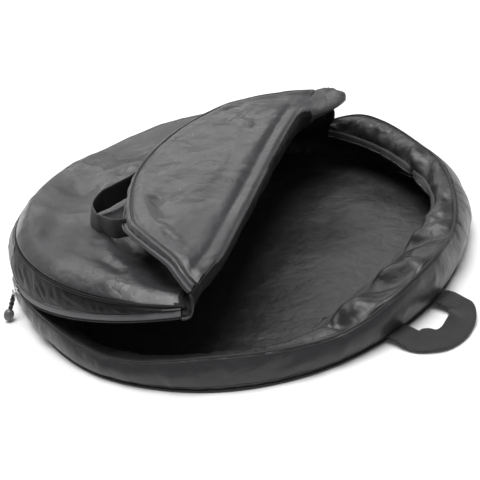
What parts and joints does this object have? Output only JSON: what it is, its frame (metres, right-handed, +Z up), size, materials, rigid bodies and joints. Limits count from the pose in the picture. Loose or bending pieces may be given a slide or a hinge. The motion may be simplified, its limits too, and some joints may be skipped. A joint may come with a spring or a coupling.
{
  "type": "bike wheel bag",
  "caption": "Round padded carry bag for a bicycle wheel, zipped round its rim, with the lid unzipped and folded half over and a webbing handle on each half.",
  "frame": {"origin": "centre of the round bottom panel, on the surface the bag lies on", "axes": "+Z up; +X across the lid from the fixed half to the half that folds; +Y along the fold line towards the back end of the zip"},
  "size_m": [0.8147, 0.7754, 0.1884],
  "materials": {
    "base_handle_strap": "matt ribbed webbing",
    "base_handle_tab_front": "matt ribbed webbing",
    "base_handle_tab_rear": "matt ribbed webbing",
    "bottom_panel": "semi-gloss woven nylon over thin foam",
    "bottom_seam_piping": "matt bound seam cord",
    "flap_panel": "smooth nylon lining",
    "flap_seam_piping": "matt bound seam cord",
    "flap_side_band": "woven nylon",
    "lid_fold": "semi-gloss woven nylon over thin foam",
    "lid_handle_strap": "matt ribbed webbing",
    "lid_handle_tab_front": "matt ribbed webbing",
    "lid_handle_tab_rear": "matt ribbed webbing",
    "lid_panel": "semi-gloss woven nylon over thin foam",
    "lid_seam_piping": "matt bound seam cord",
    "lid_side_band": "woven nylon",
    "lower_gusset": "semi-gloss woven nylon over thin foam",
    "pull_bead": "moulded plastic bead",
    "pull_cord": "braided cord",
    "pull_ring": "nickel plated wire",
    "rear_gusset": "woven nylon",
    "rim_seam_piping": "matt bound seam cord",
    "slider_body": "nickel plated",
    "zip_coil_base": "nylon zip coil",
    "zip_coil_flap": "nylon zip coil",
    "zip_coil_lid": "nylon zip coil",
    "zip_strip_base": "semi-gloss woven nylon over thin foam",
    "zip_tape_base": "matt woven zip tape",
    "zip_tape_flap": "matt woven zip tape",
    "zip_tape_lid": "matt woven zip tape"
  },
  "bodies": {
    "base": {"bottom_panel": "bottom_panel", "bottom_seam_piping": "bottom_seam_piping", "lower_gusset": "lower_gusset", "rim_seam_piping": "rim_seam_piping", "zip_strip_base": "zip_strip_base", "zip_tape_base": "zip_tape_base", "zip_coil_base": "zip_coil_base", "rear_gusset": "rear_gusset", "lid_panel": "lid_panel", "lid_seam_piping": "lid_seam_piping", "lid_side_band": "lid_side_band", "zip_tape_lid": "zip_tape_lid", "zip_coil_lid": "zip_coil_lid", "lid_fold": "lid_fold", "base_handle_tab_front": "base_handle_tab_front", "base_handle_tab_rear": "base_handle_tab_rear"},
    "lid_flap": {"flap_panel": "flap_panel", "flap_seam_piping": "flap_seam_piping", "flap_side_band": "flap_side_band", "zip_tape_flap": "zip_tape_flap", "zip_coil_flap": "zip_coil_flap", "lid_handle_tab_front": "lid_handle_tab_front", "lid_handle_tab_rear": "lid_handle_tab_rear"},
    "lid_handle": {"lid_handle_strap": "lid_handle_strap"},
    "base_handle": {"base_handle_strap": "base_handle_strap"},
    "zip_slider": {"slider_body": "slider_body"},
    "zip_pull": {"pull_ring": "pull_ring", "pull_cord": "pull_cord", "pull_bead": "pull_bead"}
  },
  "joints": [
    {"name": "lid_flap_fold", "type": "hinge", "parent": "base", "child": "lid_flap", "pos_m": [0.112, 0, 0.147], "axis": [0, 1, 0], "range_deg": [0, 178]},
    {"name": "lid_handle_swing", "type": "hinge", "parent": "lid_flap", "child": "lid_handle", "pos_m": [-0.12275, -0.14606, 0.16712], "axis": [-0.3785, 0.9158, -0.1344], "range_deg": [0, 60]},
    {"name": "base_handle_swing", "type": "hinge", "parent": "base", "child": "base_handle", "pos_m": [0.35507, -0.16784, 0.012], "axis": [-0.4274, -0.9041, 0], "range_deg": [0, 60]},
    {"name": "zip_slider_travel", "type": "hinge", "parent": "base", "child": "zip_slider", "pos_m": [0.00921, 0.03569, 0.06397], "axis": [-0.1492, 0.1025, 0.9835], "range_deg": [0, 52]},
    {"name": "zip_pull_swing", "type": "hinge", "parent": "zip_slider", "child": "zip_pull", "pos_m": [-0.30031, -0.23955, 0.04507], "axis": [-0.9016, 0.4325, 0], "range_deg": [0, 140]}
  ]
}
